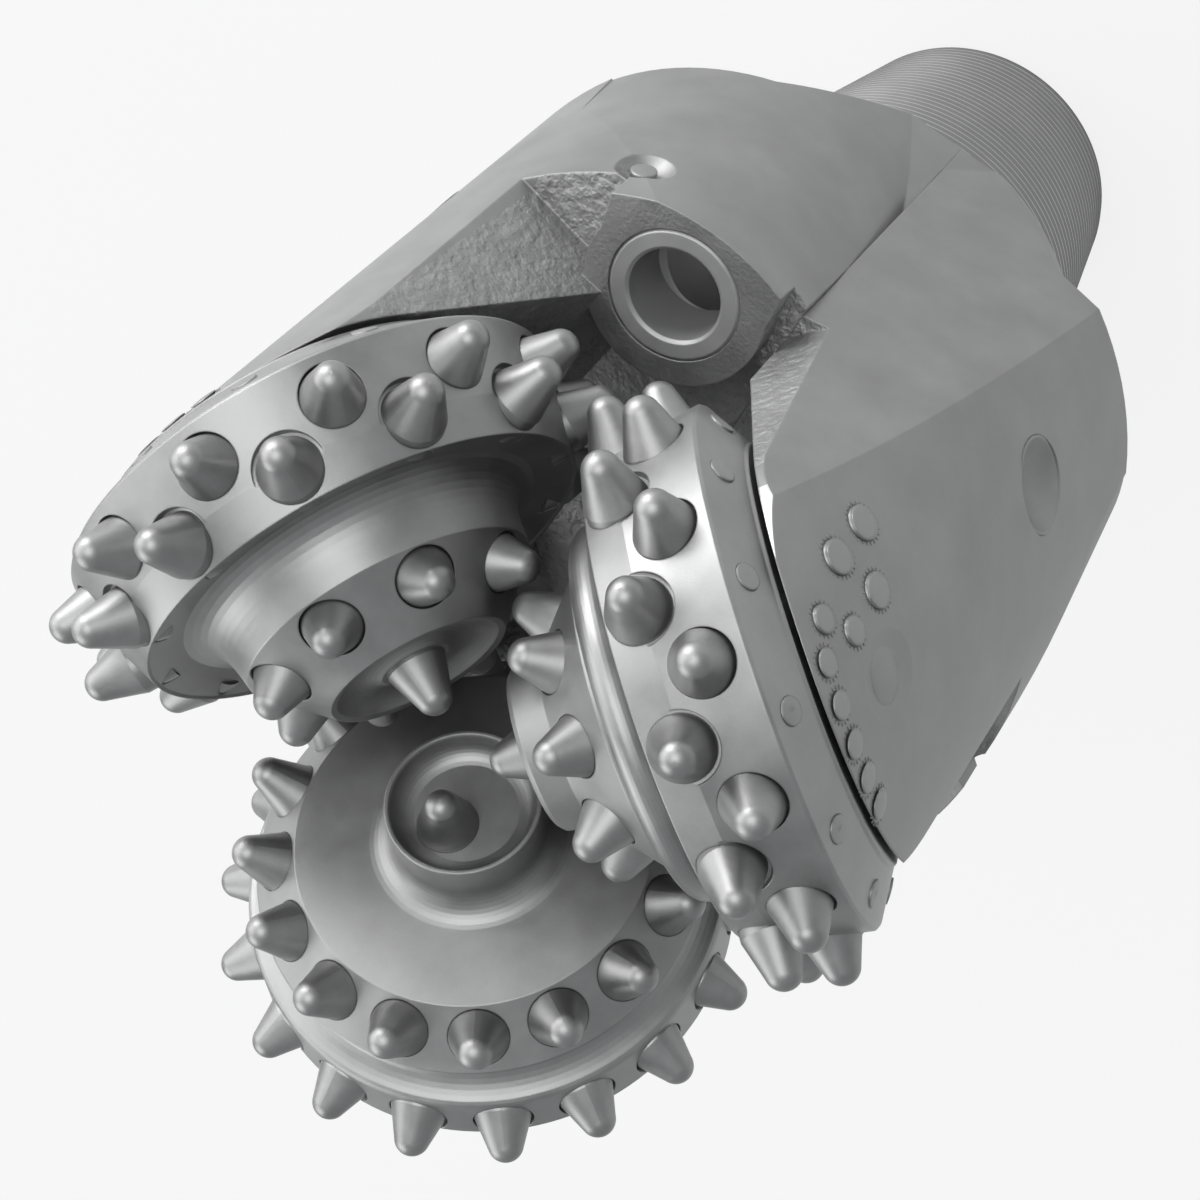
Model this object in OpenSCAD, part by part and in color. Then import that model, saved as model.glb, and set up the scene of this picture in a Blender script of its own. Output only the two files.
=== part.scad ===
// Rotary rock bit with three rolling cones and pressed-in hardmetal inserts, cones up.
// It stands on the end of its threaded pin. Its axis is Z and the cone axes cross near cross_z.

/* [Bit] */
// Height of the point where the cone axes cross, above the make-up shoulder
body_height = 241; // [236:1:250]
// Radius that the legs are turned to, just under the gauge of the hole
leg_radius = 99.6; // [98:0.2:100.4]
// Height of the make-up shoulder up to which the leg backs taper in
taper_start = 54; // [48:1:60]
// Height over the shoulder at which the first taper of the leg back begins
taper_break = 44; // [38:1:46]
// Radius of the leg back at the break between its two tapers
break_radius = 89; // [86:0.5:92]

/* [Pin and shank] */
// Length of the threaded pin
pin_length = 108; // [102:1:114]
// Thread root radius at the shoulder end of the pin
pin_base_r = 57; // [55:0.2:59]
// Thread root radius at the free end of the pin
pin_end_r = 43.6; // [42:0.2:46]
// Length of the plain relief between the shoulder and the thread
relief_length = 11; // [8:1:14]
// Radius of the relief
relief_r = 54.4; // [53:0.2:55]
// Chamfer on the free end of the pin
pin_chamfer = 3.2; // [2:0.2:5]
// Distance across opposite breaker flats
flats_across = 132.8; // [130:0.4:136]
// Radius of the narrow corners between the flats
shank_r = 68.3; // [67.6:0.1:69.6]
// Height of the shank above the make-up shoulder
shank_height = 70; // [60:1:80]
// Radius of the water bore
water_bore_r = 26; // [22:0.5:30]

/* [Journals] */
// Angle of each journal below the horizontal plane
journal_angle = 25.45; // [24.8:0.05:26.2]
// Sideways offset of each journal axis
journal_offset = -2.7; // [-3.2:0.1:-2.2]
// Distance from the crossing point to the leg face that the cone turns against
leg_face = 87.7; // [87.4:0.1:88.6]
// Radius of the main journal
journal_r = 28; // [27:0.1:28.6]
// Radius of the journal beside the ball race
race_r = 25; // [24.6:0.1:25.4]
// Radius of the pilot pin
pilot_r = 14; // [12:0.1:15]
// Distance of the end face of the ball race journal
journal_end = 50; // [49.4:0.1:50.6]
// Distance of the end of the pilot pin
pilot_end = 40.4; // [40:0.1:42]
// Distance of the step from the main journal to the ball race journal
race_step = 62.6; // [62.4:0.1:63]
// Radius of the retaining balls
ball_r = 4.75; // [4.5:0.05:4.8]
// Distance of the plane of the ball race
race_plane = 57; // [56.6:0.1:57.4]
// Running clearance of the bearings on radius
running_gap = 0.05; // [0.03:0.01:0.08]
// Clearance round pieces that are fitted by hand
fit_gap = 0.05; // [0.03:0.01:0.1]
// Outer radius of the journal bush
bush_r = 31; // [30.6:0.1:31.6]
// Thickness of the thrust washer
washer_t = 1.9; // [1.6:0.1:2.2]
// Radius of the section of the cone seal
seal_r = 2.9; // [2.8:0.05:2.95]

/* [Cones] */
// Distance of the back face of the cones
cone_back = 86.4; // [86:0.1:86.6]
// Radius of the back face
back_r = 49.1; // [48:0.1:50]
// Distance of the edge between the gauge face and the heel
heel_edge = 78; // [77.4:0.1:78.6]
// Radius of that edge
heel_r = 61.3; // [60.8:0.1:61.5]
// Distance of the edge between the two heel lands
land_edge = 59.5; // [59:0.1:60]
// Radius of that edge
land_r = 58.1; // [57.8:0.1:58.4]
// Distance of the edge of the groove beside the heel
groove_edge = 50.7; // [50.4:0.1:51]
// Radius of that edge
groove_r = 55; // [54.6:0.1:55.4]

/* [Inserts] */
// Radius of the grip of a cutting insert
insert_r = 7.3; // [7:0.05:7.5]
// Radius of the rounded tip
tip_r = 4.35; // [4.1:0.05:4.5]
// Amount by which the cone of an insert dives into its tip
tip_tuck = 0.03; // [0.02:0.01:0.1]
// Depth of the grip below the cone surface
insert_depth = 8; // [7:0.5:9]
// Radius of the flush gauge buttons
gauge_button_r = 3.1; // [2.8:0.1:3.4]
// Number of inserts in each heel row of cones a and b
heel_count = 12; // [12:1:12]
// Number of inserts in the inner row of cones a and b
inner_count = 8; // [7:1:8]
// Number of inserts in the outer row of cone c
outer_count_c = 18; // [16:1:18]
// Number of inserts in the inner row of cone c
inner_count_c = 16; // [14:1:16]

/* [Legs] */
// Radius of the rounded end of each leg round its journal axis
shirttail_r = 49.7; // [49:0.1:50.2]
// Azimuth of the flat milled on the leading side of a leg, from the leg centre
flank_angle = 50; // [48:0.5:52]
// Tilt of that flat
flank_tilt = 7.2; // [6.6:0.1:7.8]
// Distance of that flat from the crossing point
flank_offset = 93; // [92:0.2:94]
// Radius of the lobe on the trailing side that carries the nozzle
lobe_r = 61.6; // [61:0.1:63]
// Height of the shelf between the legs below the crossing point
shelf_drop = 104; // [102:0.5:107]
// Radius of the throat inside the shelf
throat_r = 64; // [60:0.5:66]
// Depth of the throat below the shelf
throat_depth = 13; // [9:0.5:15]
// Radius of the grease reservoir in the leg back
reservoir_r = 12.2; // [11.6:0.1:12.8]
// Depth of the grease reservoir
reservoir_depth = 34; // [30:1:38]
// Radius of the ball hole and its plug
ball_plug_r = 5.5; // [5.2:0.1:5.6]
// Radius of the shallow dish over the ball plug
plug_dish_r = 12; // [10:0.5:13]
// Depth of that dish
plug_dish_depth = 1.4; // [1:0.1:2]
// Height by which the shirttail buttons stand proud
button_proud = 0.5; // [0.3:0.1:0.8]

/* [Nozzles] */
// Radius of the nozzle centres round the bit axis
nozzle_circle = 76.4; // [75.6:0.2:77]
// Outer radius of a nozzle
nozzle_r = 17.1; // [16.6:0.1:17.4]
// Bore radius of a nozzle
nozzle_bore_r = 11.9; // [10:0.1:12.4]
// Length of a nozzle
nozzle_length = 18; // [16:0.5:20]
// Height of the nozzle boss face below the crossing point
boss_drop = 95.7; // [95:0.1:97]
// Radius of the rounded inner side of the boss
boss_r = 23.7; // [23:0.1:24.4]
// Radius of the nail that locks a nozzle
nail_r = 2.7; // [2.4:0.1:3]

// Section radius of the seal round a nozzle
nozzle_seal_r = 1.55; // [1.2:0.05:1.7]
// Length of the chamber behind a nozzle
chamber_length = 12; // [8:0.5:16]
// Radius of that chamber and of the water way that leads to it
chamber_r = 14.5; // [12.6:0.1:15]

/* [Hidden] */
$fn = 96;

// Leg azimuths, counter-clockwise seen from the cone end
AZ_A = 240;
AZ_B = 120;
AZ_C = 0;
cross_z = pin_length + body_height;
sector_start = -81;
nozzle_azimuth = -60;
flat_azimuth = 10;
far = 400;

steel = [0.56, 0.57, 0.58];
satin = [0.66, 0.67, 0.68];
hard = [0.42, 0.43, 0.45];

// Places children at the crossing point with X along the azimuth
module at_leg(azimuth) {
    translate([0, 0, cross_z]) rotate([0, 0, azimuth]) children();
}

// Places children on a journal axis: Z runs outward along it and -X points up and out
module on_journal(azimuth) {
    at_leg(azimuth) translate([0, journal_offset, 0]) rotate([0, 90 + journal_angle, 0]) children();
}

// Points of an arc
function arc(cx, cy, r, from, to, steps = 12) =
    [for (i = [0:steps]) let (t = from + (to - from) * i / steps) [cx + r * cos(t), cy + r * sin(t)]];

// Points of a cubic curve without its first one
function curve(p0, p1, p2, p3, steps = 10) =
    [for (i = [1:steps]) let (t = i / steps, s = 1 - t)
        s * s * s * p0 + 3 * s * s * t * p1 + 3 * s * t * t * p2 + t * t * t * p3];

// Cutting inserts

// One conical insert standing on the plane z = 0 with its grip below
module cutting_insert(reach) {
    tip_z = reach - tip_r;
    // half angle of the cone that leaves the grip and meets the tip almost tangentially
    slope = atan2(insert_r, tip_z) - asin(tip_r / norm([insert_r, tip_z]));
    translate([0, 0, -insert_depth]) cylinder(r = insert_r, h = insert_depth);
    cylinder(r1 = insert_r, r2 = tip_r * cos(slope) - tip_tuck, h = tip_z + tip_r * sin(slope));
    translate([0, 0, tip_z]) sphere(r = tip_r);
}

// Places children round a cone axis at distance a and radius r, leaning towards the nose by tilt
module round_row(count, phase, a, r, tilt) {
    for (k = [0:count - 1])
        rotate([0, 0, phase + 360 * k / count]) translate([r, 0, a]) rotate([0, 90 + tilt, 0]) children();
}

// The hole that holds a grip, open upwards by clear
module socket(radius, depth, clear) {
    translate([0, 0, -depth]) cylinder(r = radius + fit_gap / 2, h = depth + clear);
}

// Rows of the cones: distance, radius, tilt, reach above the foot and phase
HEEL_OUTER = [68.6, 59, 0, 11.8];
HEEL_INNER = [58.7, 57.7, 0, 12.6];
INNER_A = [33.8, 29.6, 41, 10.7];
INNER_B = [32.2, 25.6, 47, 11.3];
OUTER_C = [70.9, 57.9, -18, 12];
INNER_C = [45.9, 48.7, 44, 12.4];
GAUGE_ROW = [82, 55.6, -56, 0];
NOSE_A = [24.6, 0, 90, 12.6];
NOSE_B = [17.6, 0, 90, 11.2];
NOSE_C = [26.6, 5.2, 90, 12.4];

PHASE_HEEL_A = 13.7;
PHASE_HEEL_B = 15.1;
PHASE_INNER_A = 23.7;
PHASE_INNER_B = 25.4;
PHASE_OUTER_C = 10.2;
PHASE_INNER_C = 17.5;
PHASE_NOSE_C = 212;

module insert_row(count, phase, row) {
    round_row(count, phase, row[0], row[1], row[2]) cutting_insert(row[3]);
}

module socket_row(count, phase, row) {
    round_row(count, phase, row[0], row[1], row[2]) socket(insert_r, insert_depth, 6);
}

// Flush button with a slightly domed face
module gauge_button() {
    intersection() {
        translate([0, 0, -6]) cylinder(r = gauge_button_r, h = 8);
        translate([0, 0, -19.4]) sphere(r = 20);
    }
}

module gauge_row(count, phase) {
    round_row(count, phase, GAUGE_ROW[0], GAUGE_ROW[1], GAUGE_ROW[2]) gauge_button();
}

module gauge_sockets(count, phase) {
    round_row(count, phase, GAUGE_ROW[0], GAUGE_ROW[1], GAUGE_ROW[2]) socket(gauge_button_r, 6, 4);
}

// Cones

// Outline of a cone half section from the groove edge round the gauge to the back face
HEEL_OUTLINE = [[groove_r, groove_edge], [land_r, land_edge], [heel_r, heel_edge],
    [heel_r - 0.5, heel_edge + 0.8], [back_r + 0.5, cone_back - 0.8], [back_r, cone_back]];

// Nose of cone a: central insert in a recess, inner land, wide concave groove
NOSE_OUTLINE_A = concat(
    [[0, 25.2], [8.6, 25.2]],
    curve([8.6, 25.2], [12, 27.8], [17, 27.4], [20.6, 24]),
    [[22.3, 23.6], [36.2, 38.4]],
    curve([36.2, 38.4], [37.2, 45], [37.6, 52.4], [45, 53.2]),
    [[54.2, 51.2]]);

// Nose of cone b: stub nose, inner land, round ridge and a narrow groove
NOSE_OUTLINE_B = concat(
    [[0, 17.8], [18.4, 17.8], [19.6, 19], [21.1, 26.4], [36, 40.1]],
    arc(40.1, 45.9, 4.3, -140, 30, 14),
    curve([43.8, 48.05], [40.4, 52.2], [44, 54.4], [50, 52.9], 8),
    [[54.2, 51.2]]);

// Nose of cone c: dished boss, wide face, inner land, groove and ridge
NOSE_OUTLINE_C = concat(
    [[0, 27.2], [12.6, 27.2]],
    curve([12.6, 27.2], [15.6, 26.6], [17, 24.4], [17.4, 21.6], 8),
    [[17.8, 21], [18.6, 21], [18.8, 21.3]],
    arc(26.2, 30.9, 7.4, 180, 90, 10),
    [[43.6, 39.5], [55.2, 52.2], [53.6, 53.2]],
    curve([53.6, 53.2], [51.2, 57.4], [55.6, 60.6], [58.6, 61.6], 8),
    [[59.3, 62.3], [59.6, 63.4], [60.2, heel_edge - 0.6], [59.8, heel_edge + 0.4],
     [back_r + 0.5, cone_back - 0.8], [back_r, cone_back]]);

// The bearing cavity that every cone has
module bearing_cavity() {
    seal_gap = 0.6;
    rotate_extrude() polygon([[0, pilot_end - 0.6], [pilot_r + running_gap, pilot_end - 0.6],
        [pilot_r + running_gap, journal_end - washer_t - 2 * running_gap],
        [race_r + running_gap, journal_end - washer_t - 2 * running_gap],
        [race_r + running_gap, race_step - 0.4], [bush_r, race_step - 0.4],
        [bush_r, cone_back - 2 * seal_r - seal_gap - 0.6],
        [journal_r + 2 * seal_r + 0.2, cone_back - 2 * seal_r - seal_gap - 0.6],
        [journal_r + 2 * seal_r + 0.2, cone_back + 1], [0, cone_back + 1]]);
    translate([0, 0, race_plane]) rotate_extrude() translate([race_r, 0]) circle(r = ball_r + running_gap);
}

module cone_shell(outline) {
    difference() {
        rotate_extrude($fn = 180) polygon(concat(outline, [[0, cone_back]]));
        bearing_cavity();
    }
}

// Spot faces cut for the inserts that stand on the edge between the heel lands
module heel_spot_faces(phase) {
    round_row(heel_count, phase, HEEL_INNER[0], HEEL_INNER[1] - 0.5, 0) cylinder(r = insert_r + 0.9, h = 8);
}

module heeled_cone(azimuth, outline, heel_phase, inner_phase, inner_row, nose_row) {
    color(satin) on_journal(azimuth) difference() {
        cone_shell(concat(outline, HEEL_OUTLINE));
        heel_spot_faces(heel_phase);
        socket_row(heel_count, heel_phase + 180 / heel_count, HEEL_OUTER);
        socket_row(heel_count, heel_phase, HEEL_INNER);
        socket_row(inner_count, inner_phase, inner_row);
        socket_row(1, inner_phase, nose_row);
        gauge_sockets(heel_count, heel_phase);
    }
}

module cone_a() { heeled_cone(AZ_A, NOSE_OUTLINE_A, PHASE_HEEL_A, PHASE_INNER_A, INNER_A, NOSE_A); }
module cone_b() { heeled_cone(AZ_B, NOSE_OUTLINE_B, PHASE_HEEL_B, PHASE_INNER_B, INNER_B, NOSE_B); }

module cone_c() {
    color(satin) on_journal(AZ_C) difference() {
        cone_shell(NOSE_OUTLINE_C);
        socket_row(outer_count_c, PHASE_OUTER_C, OUTER_C);
        socket_row(inner_count_c, PHASE_INNER_C, INNER_C);
        socket_row(1, PHASE_NOSE_C, NOSE_C);
        gauge_sockets(outer_count_c, PHASE_OUTER_C + 180 / outer_count_c);
    }
}

module gauge_buttons_a() { color(hard) on_journal(AZ_A) gauge_row(heel_count, PHASE_HEEL_A); }
module gauge_buttons_b() { color(hard) on_journal(AZ_B) gauge_row(heel_count, PHASE_HEEL_B); }
module gauge_buttons_c() { color(hard) on_journal(AZ_C) gauge_row(outer_count_c, PHASE_OUTER_C + 180 / outer_count_c); }
module heel_outer_inserts_a() { color(hard) on_journal(AZ_A) insert_row(heel_count, PHASE_HEEL_A + 180 / heel_count, HEEL_OUTER); }
module heel_outer_inserts_b() { color(hard) on_journal(AZ_B) insert_row(heel_count, PHASE_HEEL_B + 180 / heel_count, HEEL_OUTER); }
module heel_inner_inserts_a() { color(hard) on_journal(AZ_A) insert_row(heel_count, PHASE_HEEL_A, HEEL_INNER); }
module heel_inner_inserts_b() { color(hard) on_journal(AZ_B) insert_row(heel_count, PHASE_HEEL_B, HEEL_INNER); }
module inner_inserts_a() { color(hard) on_journal(AZ_A) insert_row(inner_count, PHASE_INNER_A, INNER_A); }
module inner_inserts_b() { color(hard) on_journal(AZ_B) insert_row(inner_count, PHASE_INNER_B, INNER_B); }
module outer_inserts_c() { color(hard) on_journal(AZ_C) insert_row(outer_count_c, PHASE_OUTER_C, OUTER_C); }
module inner_inserts_c() { color(hard) on_journal(AZ_C) insert_row(inner_count_c, PHASE_INNER_C, INNER_C); }
module nose_insert_a() { color(hard) on_journal(AZ_A) insert_row(1, PHASE_INNER_A, NOSE_A); }
module nose_insert_b() { color(hard) on_journal(AZ_B) insert_row(1, PHASE_INNER_B, NOSE_B); }
module nose_insert_c() { color(hard) on_journal(AZ_C) insert_row(1, PHASE_NOSE_C, NOSE_C); }

// Bearing pieces

// Floating bush between the journal and the cone
module bush(azimuth) {
    end = cone_back - 2 * seal_r - 1.6;
    color([0.72, 0.5, 0.2]) on_journal(azimuth) translate([0, 0, race_step]) difference() {
        cylinder(r = bush_r - running_gap, h = end - race_step);
        translate([0, 0, -1]) cylinder(r = journal_r + running_gap, h = end - race_step + 2);
    }
}

module thrust_washer(azimuth) {
    color([0.72, 0.5, 0.2]) on_journal(azimuth)
        translate([0, 0, journal_end - washer_t - running_gap]) difference() {
            cylinder(r = race_r - 0.2, h = washer_t);
            translate([0, 0, -1]) cylinder(r = pilot_r + 0.4, h = washer_t + 2);
        }
}

// Balls that fill the race and hold the cone on its journal
module retaining_balls(azimuth) {
    count = floor(360 / (2 * asin((ball_r + 0.15) / race_r)));
    color([0.75, 0.75, 0.77]) on_journal(azimuth) for (k = [0:count - 1])
        rotate([0, 0, 360 * k / count]) translate([race_r, 0, race_plane]) sphere(r = ball_r);
}

module cone_seal(azimuth) {
    color([0.08, 0.08, 0.09]) on_journal(azimuth)
        translate([0, 0, cone_back - seal_r - 0.7]) rotate_extrude()
            translate([journal_r + seal_r + 0.1, 0]) circle(r = seal_r, $fn = 48);
}

module journal_bush_a() { bush(AZ_A); }
module journal_bush_b() { bush(AZ_B); }
module journal_bush_c() { bush(AZ_C); }
module thrust_washer_a() { thrust_washer(AZ_A); }
module thrust_washer_b() { thrust_washer(AZ_B); }
module thrust_washer_c() { thrust_washer(AZ_C); }
module retaining_balls_a() { retaining_balls(AZ_A); }
module retaining_balls_b() { retaining_balls(AZ_B); }
module retaining_balls_c() { retaining_balls(AZ_C); }
module cone_seal_a() { cone_seal(AZ_A); }
module cone_seal_b() { cone_seal(AZ_B); }
module cone_seal_c() { cone_seal(AZ_C); }

// Legs

// Turned outline of the leg backs from the shank to above the cones
module turned_back() {
    low = -body_height;
    rotate_extrude($fn = 180) polygon([[0, low], [shank_r, low], [break_radius, low + taper_break],
        [leg_radius, low + taper_start], [leg_radius, 40], [0, 40]]);
}

// Lobe on the trailing side: a cylinder that leans with the nozzle boss, left open on the leading side
module lobe() {
    lean = 9.9;
    lean_azimuth = -108.3;
    translate([31.6, -25.3, -96]) rotate([0, lean, lean_azimuth]) {
        cylinder(r = lobe_r, h = 2 * far, center = true, $fn = 180);
        rotate([0, 0, 81.3]) translate([-far, 0, -far]) cube([2 * far, far, 2 * far]);
    }
}

module leading_flat() {
    rotate([0, 0, flank_angle]) rotate([0, flank_tilt, 0])
        translate([flank_offset, -far, -far]) cube([far, 2 * far, 2 * far]);
}

// Shank with its breaker flats, ending in the make-up shoulder
module shank() {
    translate([0, 0, -body_height]) intersection() {
        cylinder(r = shank_r, h = shank_height, $fn = 180);
        rotate([0, 0, flat_azimuth + 15]) cylinder(r = flats_across / 2 / cos(15), h = shank_height, $fn = 12);
    }
}

module pin_blank() {
    translate([0, 0, -body_height - pin_length]) rotate_extrude($fn = 180) polygon([[0, 0],
        [pin_end_r - pin_chamfer, 0], [pin_end_r, pin_chamfer],
        [pin_base_r, pin_length - relief_length], [relief_r, pin_length - relief_length + 2],
        [relief_r, pin_length], [0, pin_length]]);
}

// Third of the circle that belongs to one leg, with the weld planes as its sides
module sector() {
    reach = 2 * far;
    translate([0, 0, -far]) linear_extrude(2 * far) polygon([[0, 0],
        for (k = [0:3]) reach * [cos(sector_start + 40 * k), sin(sector_start + 40 * k)]]);
}

// Region under the shelf and the throat between the legs
module below_shelf() {
    translate([0, 0, -shelf_drop]) rotate_extrude($fn = 180) polygon([[0, -far], [far, -far], [far, -4],
        [leg_radius, -3], [throat_r, 0], [throat_r - 6, -throat_depth], [0, -throat_depth + 2]]);
}

// Round-ended arm that carries the journal
module arm() {
    rotate([0, 90 + journal_angle, 0]) translate([0, journal_offset, leg_face]) linear_extrude(60) {
        circle(r = shirttail_r, $fn = 180);
        translate([0, -shirttail_r]) square([110, 2 * shirttail_r]);
    }
}

module nozzle_boss() {
    translate([0, 0, -boss_drop - 60]) linear_extrude(60) {
        translate([nozzle_circle, 0]) circle(r = boss_r);
        polygon([[nozzle_circle - 3, -boss_r + 0.6], [leg_radius + 14, -boss_r - 12],
            [leg_radius + 14, boss_r - 8], [nozzle_circle - 3, boss_r - 0.6]]);
    }
}

// Journal with ball race and pilot pin
module journal() {
    difference() {
        rotate_extrude() polygon([[0, pilot_end], [pilot_r - 1, pilot_end], [pilot_r, pilot_end + 1],
            [pilot_r, journal_end], [race_r, journal_end], [race_r, race_step - 0.2],
            [journal_r, race_step - 0.2], [journal_r, leg_face + 1], [0, leg_face + 1]]);
        translate([0, 0, race_plane]) rotate_extrude() translate([race_r, 0]) circle(r = ball_r + running_gap);
    }
}

ball_hole_up = journal_r - ball_plug_r - 1;

// Passage through the leg by which the balls enter the race
module ball_hole(radius) {
    translate([-ball_hole_up, 0, race_plane - ball_r]) cylinder(r = radius, h = 80);
}

// Places children in a leg back at an azimuth and height, with Z pointing outward
module on_back(azimuth, drop, radius) {
    rotate([0, 0, azimuth]) translate([radius, 0, -drop]) rotate([0, 90, 0]) children();
}

RESERVOIR_AZIMUTH = -5.3;
RESERVOIR_DROP = 123;
PLUG_AZIMUTH = asin(journal_offset / leg_radius);
PLUG_DROP = leg_radius * tan(journal_angle) - ball_hole_up / cos(journal_angle);
// Shallow dish ground over the plug
module plug_dish() {
    ball = (plug_dish_r * plug_dish_r + plug_dish_depth * plug_dish_depth) / 2 / plug_dish_depth;
    on_back(PLUG_AZIMUTH, PLUG_DROP, leg_radius - plug_dish_depth + ball) sphere(r = ball);
}

NAIL_SIDE = 18.4;
NAIL_DROP = boss_drop + nozzle_length;

module nozzle_cavity() {
    rotate([0, 0, nozzle_azimuth]) translate([nozzle_circle, 0, -boss_drop]) {
        translate([0, 0, -nozzle_length]) cylinder(r = nozzle_r + fit_gap, h = nozzle_length + 40);
        translate([0, 0, -nozzle_length - chamber_length]) cylinder(r = chamber_r, h = chamber_length + 1);
    }
}

// Water way from the bore to each nozzle
module water_ways() {
    top = boss_drop + nozzle_length + chamber_length;
    fork = [12, -top - 46];
    run = [nozzle_circle, -top] - fork;
    for (k = [0:2]) rotate([0, 0, nozzle_azimuth + 120 * k]) {
        translate([nozzle_circle, 0, -top]) sphere(r = chamber_r);
        translate([fork[0], 0, fork[1]]) {
            sphere(r = chamber_r);
            rotate([0, 90 - atan2(run[1], run[0]), 0]) cylinder(r = chamber_r, h = norm(run));
        }
    }
    translate([0, 0, -body_height - pin_length - 1]) cylinder(r = water_bore_r, h = pin_length + 82);
    translate([0, 0, -body_height + 81]) sphere(r = water_bore_r);
}

module nail_hole(radius) {
    rotate([0, 0, nozzle_azimuth]) translate([nozzle_circle, NAIL_SIDE, -NAIL_DROP])
        rotate([0, 90, 0]) cylinder(r = radius, h = 60);
}

// Buttons of the shirttail: radius and angle round the journal axis, and button radius
SHIRTTAIL_BUTTONS = concat(
    [for (k = [0:5]) [k == 0 ? 39.6 : 42.4, 56 + 12.6 * k, 3.2]],
    [[30.1, 61, 3.3], [28.4, 8, 4.1], [32.8, 31.7, 4.1], [20.3, 38.8, 4.1]]);

module shirttail_button_places(extra) {
    for (b = SHIRTTAIL_BUTTONS) rotate([0, 0, 90 + b[1]]) translate([b[0], 0, leg_face + 3])
        cylinder(r = b[2] + extra, h = 40);
}

module leg(azimuth) {
    color(steel) difference() {
        union() {
            at_leg(azimuth) intersection() {
                sector();
                union() {
                    difference() {
                        intersection() { turned_back(); lobe(); }
                        leading_flat();
                    }
                    shank();
                }
                union() {
                    below_shelf();
                    arm();
                    rotate([0, 0, nozzle_azimuth]) nozzle_boss();
                }
            }
            at_leg(azimuth) intersection() { sector(); pin_blank(); }
            on_journal(azimuth) journal();
        }
        at_leg(azimuth) {
            water_ways();
            nozzle_cavity();
            nail_hole(nail_r + fit_gap);
            rotate([0, 0, nozzle_azimuth]) translate([98.9 + 3.4, NAIL_SIDE, -NAIL_DROP]) sphere(r = 9.2);
            on_back(RESERVOIR_AZIMUTH, RESERVOIR_DROP, leg_radius - reservoir_depth)
                cylinder(r = reservoir_r, h = 60);
            plug_dish();
        }
        on_journal(azimuth) {
            ball_hole(ball_plug_r + fit_gap);
            shirttail_button_places(fit_gap);
        }
    }
}

module leg_a() { leg(AZ_A); }
module leg_b() { leg(AZ_B); }
module leg_c() { leg(AZ_C); }

// Plug that closes the ball hole, its inner end completing the race
module ball_plug(azimuth) {
    color(steel) difference() {
        on_journal(azimuth) difference() {
            intersection() {
                ball_hole(ball_plug_r);
                cylinder(r = 200, h = 101);
            }
            translate([0, 0, race_plane]) rotate_extrude()
                translate([race_r, 0]) circle(r = ball_r + running_gap);
        }
        at_leg(azimuth) plug_dish();
        on_journal(azimuth) difference() {
            cylinder(r = 60, h = race_step);
            translate([0, 0, -1]) cylinder(r = race_r, h = race_step + 2);
        }
    }
}

// Dished steel cap that closes the grease reservoir
module reservoir_cap(azimuth) {
    color(steel) at_leg(azimuth) on_back(RESERVOIR_AZIMUTH, RESERVOIR_DROP, leg_radius - 9) difference() {
        cylinder(r = reservoir_r - fit_gap, h = 8.6);
        translate([0, 0, 19]) sphere(r = 15.6);
    }
}

// Rubber cup that keeps the grease under the pressure of the hole
module reservoir_diaphragm(azimuth) {
    color([0.08, 0.08, 0.09]) at_leg(azimuth)
        on_back(RESERVOIR_AZIMUTH, RESERVOIR_DROP, leg_radius - reservoir_depth + 0.1) difference() {
            cylinder(r = reservoir_r - 0.3, h = reservoir_depth - 9.4);
            translate([0, 0, 2.4]) cylinder(r = reservoir_r - 2.8, h = reservoir_depth);
        }
}

module shirttail_buttons(azimuth) {
    color(hard) intersection() {
        on_journal(azimuth) shirttail_button_places(0);
        at_leg(azimuth) cylinder(r = leg_radius + button_proud, h = 120, center = true, $fn = 180);
    }
}

// Hardmetal nozzle with a rounded entry
module nozzle(azimuth) {
    color(hard) at_leg(azimuth) difference() {
        rotate([0, 0, nozzle_azimuth]) translate([nozzle_circle, 0, -boss_drop - nozzle_length + fit_gap])
            rotate_extrude() polygon([[nozzle_bore_r, 0], [nozzle_r - 1, 0], [nozzle_r, 1],
                [nozzle_r, nozzle_length - 0.8], [nozzle_r - 0.8, nozzle_length],
                [nozzle_bore_r + 0.8, nozzle_length], [nozzle_bore_r, nozzle_length - 0.8]]);
        nail_hole(nail_r + fit_gap);
        rotate([0, 0, nozzle_azimuth]) translate([nozzle_circle, 0, -boss_drop - nozzle_length / 2])
            rotate_extrude() translate([nozzle_r - 2 * nozzle_seal_r - fit_gap, -nozzle_seal_r - fit_gap])
                square([3 * nozzle_seal_r, 2 * (nozzle_seal_r + fit_gap)]);
    }
}

module nozzle_seal(azimuth) {
    color([0.08, 0.08, 0.09]) at_leg(azimuth) rotate([0, 0, nozzle_azimuth])
        translate([nozzle_circle, 0, -boss_drop - nozzle_length / 2])
            rotate_extrude() translate([nozzle_r - nozzle_seal_r, 0]) circle(r = nozzle_seal_r);
}

// Headless nail driven in beside the nozzle, half in the leg and half in the nozzle
module nozzle_nail(azimuth) {
    color(steel) at_leg(azimuth) rotate([0, 0, nozzle_azimuth])
        translate([nozzle_circle + 0.4, NAIL_SIDE, -NAIL_DROP]) rotate([0, 90, 0]) cylinder(r = nail_r, h = 17.6);
}

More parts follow.
